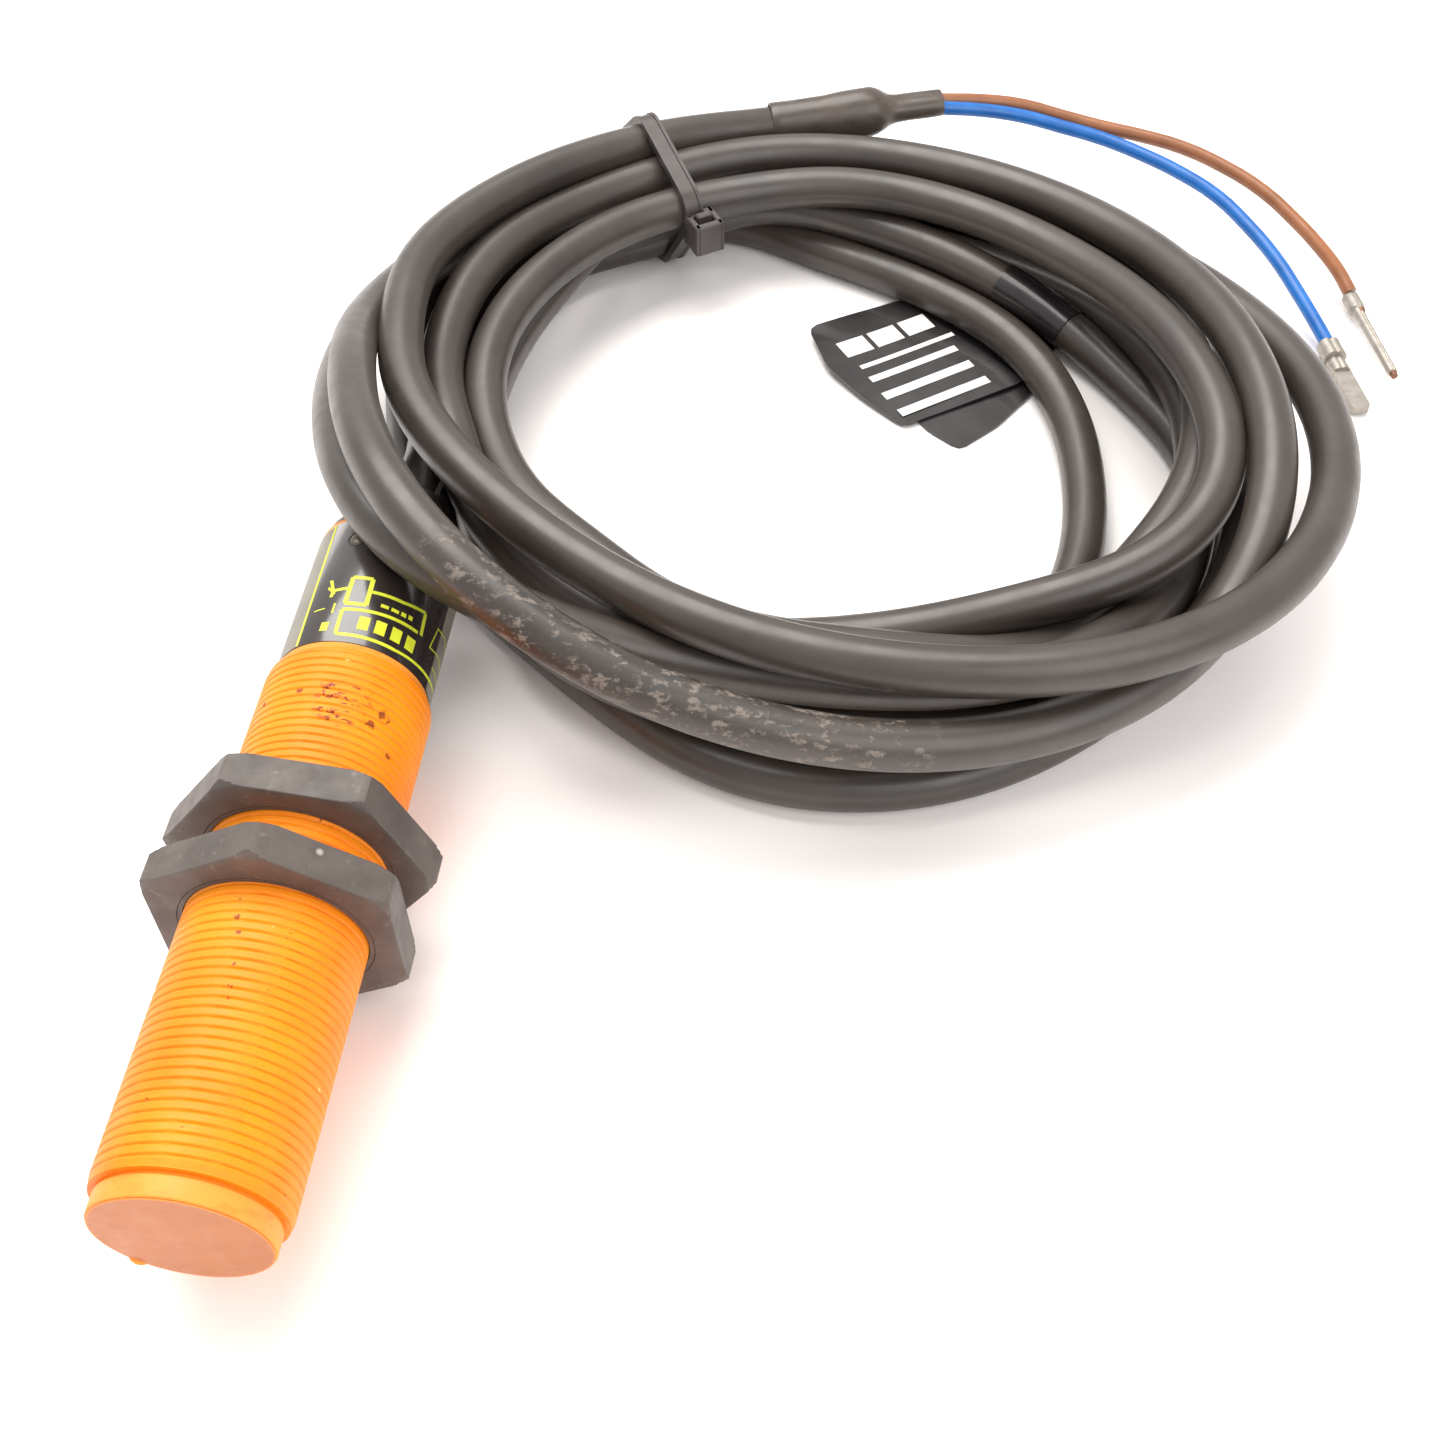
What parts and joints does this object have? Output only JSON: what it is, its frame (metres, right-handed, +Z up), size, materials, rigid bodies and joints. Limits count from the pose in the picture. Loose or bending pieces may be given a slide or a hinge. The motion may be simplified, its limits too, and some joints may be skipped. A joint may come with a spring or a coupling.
{
  "type": "proximity sensor",
  "caption": "Cylindrical threaded proximity sensor with plastic lock nuts on its barrel and a wound, tied cable that ends in crimped wire terminals.",
  "frame": {"origin": "on the supporting surface, beneath the middle of the sensor's own length (its box's bottom centre, measured without the cable)", "axes": "+Y along the barrel from the sensing face to the rear cap, +Z up, +X to the right seen from the face's side"},
  "size_m": [0.1397, 0.1852, 0.0277],
  "materials": {
    "orange_housing": "satin moulded plastic",
    "salmon_face": "satin moulded plastic with scuffs",
    "grey_nut": "matte moulded plastic",
    "black_label": "glossy printed film",
    "dark_cap": "matte moulded plastic",
    "light_lens": "clear moulded light guide",
    "ferrite": "sintered, dull",
    "bobbin": "moulded",
    "copper": "enamelled copper wire",
    "carrier": "moulded",
    "board": "solder resist",
    "chip": "moulded epoxy",
    "can": "drawn can",
    "varistor": "dipped epoxy",
    "led": "clear epoxy",
    "blue_insulation": "satin extruded",
    "brown_insulation": "satin extruded",
    "potting": "cast resin",
    "jacket": "semi-gloss extruded jacket, scuffed",
    "shrink": "satin shrunk sleeve",
    "tie": "satin nylon",
    "tag": "glossy folded film",
    "tinned": "tin plated, dull"
  },
  "bodies": {
    "barrel": {"threaded_housing": "orange_housing", "sensing_face_cap": "salmon_face", "rating_label": "black_label", "rear_end_cap": "dark_cap", "status_led_lens": "light_lens", "ferrite_core": "ferrite", "coil_bobbin": "bobbin", "copper_winding": "copper", "coil_leads": "copper", "core_carrier": "carrier", "circuit_board": "board", "oscillator_chip": "chip", "bridge_rectifier": "chip", "output_thyristor": "chip", "smoothing_capacitor": "can", "surge_varistor": "varistor", "chip_resistors": "chip", "status_led": "led", "inner_blue_lead": "blue_insulation", "inner_brown_lead": "brown_insulation", "potting_compound": "potting", "cable_boot": "jacket", "cable_lead_in": "jacket", "cable_coil": "jacket", "cable_tie_strap": "tie", "cable_tie_head": "tie", "flag_tag": "tag", "heat_shrink_sleeve": "shrink", "blue_wire": "blue_insulation", "brown_wire": "brown_insulation", "blue_spade_terminal": "tinned", "brown_pin_terminal": "tinned"},
    "front_nut_thread": {"front_nut_thread": "grey_nut"},
    "front_nut": {"front_lock_nut": "grey_nut"},
    "rear_nut_thread": {"rear_nut_thread": "grey_nut"},
    "rear_nut": {"rear_lock_nut": "grey_nut"}
  },
  "joints": [
    {"name": "front_nut_travel", "type": "slide", "parent": "barrel", "child": "front_nut_thread", "axis": [0, 1, 0], "range_m": [-0.028, 0.002]},
    {"name": "front_nut_spin", "type": "hinge", "parent": "front_nut_thread", "child": "front_nut", "pos_m": [0, 0, 0.01386], "axis": [0, 1, 0], "range_deg": [-10080, 720]},
    {"name": "rear_nut_travel", "type": "slide", "parent": "barrel", "child": "rear_nut_thread", "axis": [0, 1, 0], "range_m": [-0.002, 0.017]},
    {"name": "rear_nut_spin", "type": "hinge", "parent": "rear_nut_thread", "child": "rear_nut", "pos_m": [0, 0, 0.01386], "axis": [0, 1, 0], "range_deg": [-720, 6120]}
  ],
  "couplings": [
    {"joint": "front_nut_travel", "follows": "front_nut_spin", "m_per_rad": 0.00015915},
    {"joint": "rear_nut_travel", "follows": "rear_nut_spin", "m_per_rad": 0.00015915}
  ]
}
